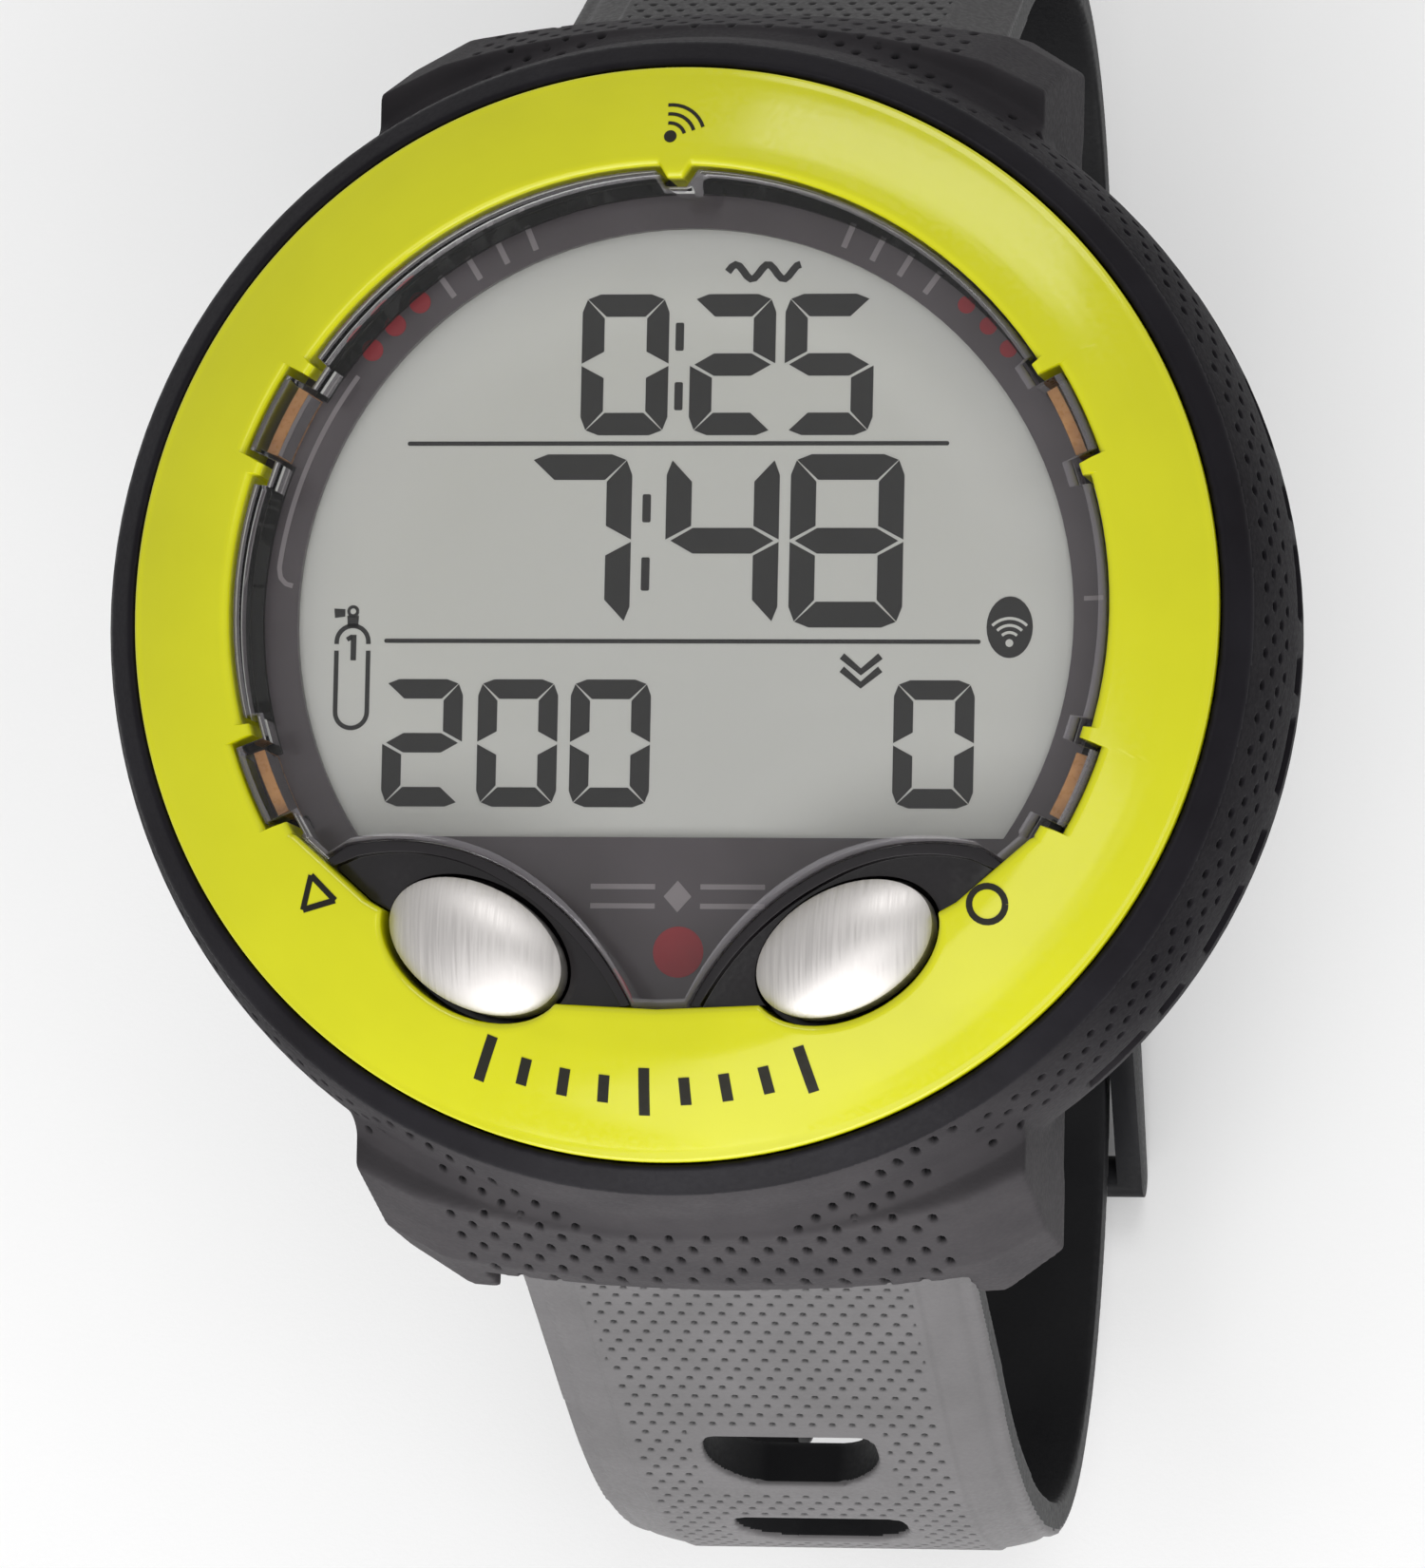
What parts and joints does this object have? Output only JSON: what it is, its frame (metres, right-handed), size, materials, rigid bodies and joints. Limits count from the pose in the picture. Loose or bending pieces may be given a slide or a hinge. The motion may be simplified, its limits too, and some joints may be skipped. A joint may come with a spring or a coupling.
{
  "type": "dive computer",
  "caption": "Round wrist dive computer with a bright bezel, segment display, two oval push buttons and a closed, slotted rubber strap with a buckle.",
  "frame": {"origin": "centre of the flat case back's outer face, which rests on the wrist", "axes": "+Z out of the display, +Y towards 12 o'clock along the strap, +X towards 3 o'clock"},
  "size_m": [0.0681, 0.0985, 0.0964],
  "materials": {
    "case_rubber": "matt moulded rubber with rows of fine dots",
    "module_plastic": "moulded, satin",
    "bezel_yellow": "glossy moulded plastic with dark printed marks",
    "clear_lens": "clear polished cover",
    "gasket_rubber": "smooth",
    "clip_amber": "translucent amber",
    "dial_mask": "dark mauve print with pale and red marks",
    "lcd_glass": "grey reflective display with dark digits",
    "light_guide": "milky",
    "frame_white": "moulded",
    "zebra_rubber": "striped contact rubber",
    "board_green": "solder mask over glass fibre",
    "chip_black": "moulded package",
    "steel_screw": "turned",
    "steel_button": "fine brushed",
    "gloss_black": "high gloss",
    "spring_steel": "drawn wire",
    "brass_contact": "plated",
    "antenna_ceramic": "fired ceramic block",
    "battery_steel": "pressed can",
    "back_plastic": "moulded, fine texture",
    "strap_rubber": "satin moulded rubber with a fine dot grid",
    "buckle_black": "moulded, satin"
  },
  "bodies": {
    "case": {"outer_case": "case_rubber", "module_housing": "module_plastic", "bezel_ring": "bezel_yellow", "display_lens": "clear_lens", "lens_gasket": "gasket_rubber", "bezel_clips": "clip_amber", "dial_ring": "dial_mask", "lcd_glass": "lcd_glass", "backlight_panel": "light_guide", "lcd_frame": "frame_white", "contact_strips": "zebra_rubber", "circuit_board": "board_green", "board_chips": "chip_black", "board_screws": "steel_screw", "radio_antenna": "antenna_ceramic", "button_switches": "chip_black", "depth_sensor": "steel_screw", "sensor_port_cover": "back_plastic", "piezo_buzzer": "brass_contact", "water_contacts": "steel_screw", "back_plate": "back_plastic", "back_screws": "steel_screw", "battery_hatch": "back_plastic", "hatch_seal": "gasket_rubber", "battery_cell": "battery_steel", "battery_spring_contact": "brass_contact", "battery_side_contact": "brass_contact", "lug_pin_lower": "steel_screw", "lug_pin_upper": "steel_screw", "strap_lower": "strap_rubber", "strap_upper": "strap_rubber", "buckle_bar": "steel_screw", "strap_keeper_fixed": "strap_rubber", "button_frame_left": "gloss_black", "button_spring_left": "spring_steel", "button_frame_right": "gloss_black", "button_spring_right": "spring_steel"},
    "button_left": {"button_cap_left": "steel_button", "button_stem_left": "steel_screw", "button_seal_left": "gasket_rubber", "button_clip_left": "spring_steel"},
    "button_right": {"button_cap_right": "steel_button", "button_stem_right": "steel_screw", "button_seal_right": "gasket_rubber", "button_clip_right": "spring_steel"},
    "hatch_ring": {"hatch_retaining_ring": "back_plastic"},
    "buckle": {"buckle_frame": "buckle_black"},
    "tang": {"buckle_tang": "steel_button"},
    "sliding_keeper": {"strap_keeper_sliding": "strap_rubber"}
  },
  "joints": [
    {"name": "button_left_press", "type": "slide", "parent": "case", "child": "button_left", "axis": [0, 0, -1], "range_m": [0, 0.0009], "stiffness_N_per_m": 600, "springref_m": -0.003, "deforming": ["button_spring_left"]},
    {"name": "button_right_press", "type": "slide", "parent": "case", "child": "button_right", "axis": [0, 0, -1], "range_m": [0, 0.0009], "stiffness_N_per_m": 600, "springref_m": -0.003, "deforming": ["button_spring_right"]},
    {"name": "hatch_ring_turn", "type": "hinge", "parent": "case", "child": "hatch_ring", "pos_m": [0, 0, 0.001], "axis": [0, 0, 1], "range_deg": [0, 60]},
    {"name": "buckle_swing", "type": "hinge", "parent": "case", "child": "buckle", "pos_m": [0, -0.013, -0.05994], "axis": [1, 0, 0], "range_deg": [0, 6]},
    {"name": "tang_lift", "type": "hinge", "parent": "buckle", "child": "tang", "pos_m": [0, -0.013, -0.05994], "axis": [1, 0, 0], "range_deg": [0, 10]},
    {"name": "keeper_slide", "type": "slide", "parent": "case", "child": "sliding_keeper", "axis": [0, 1, 0], "range_m": [-0.003, 0.004]}
  ]
}
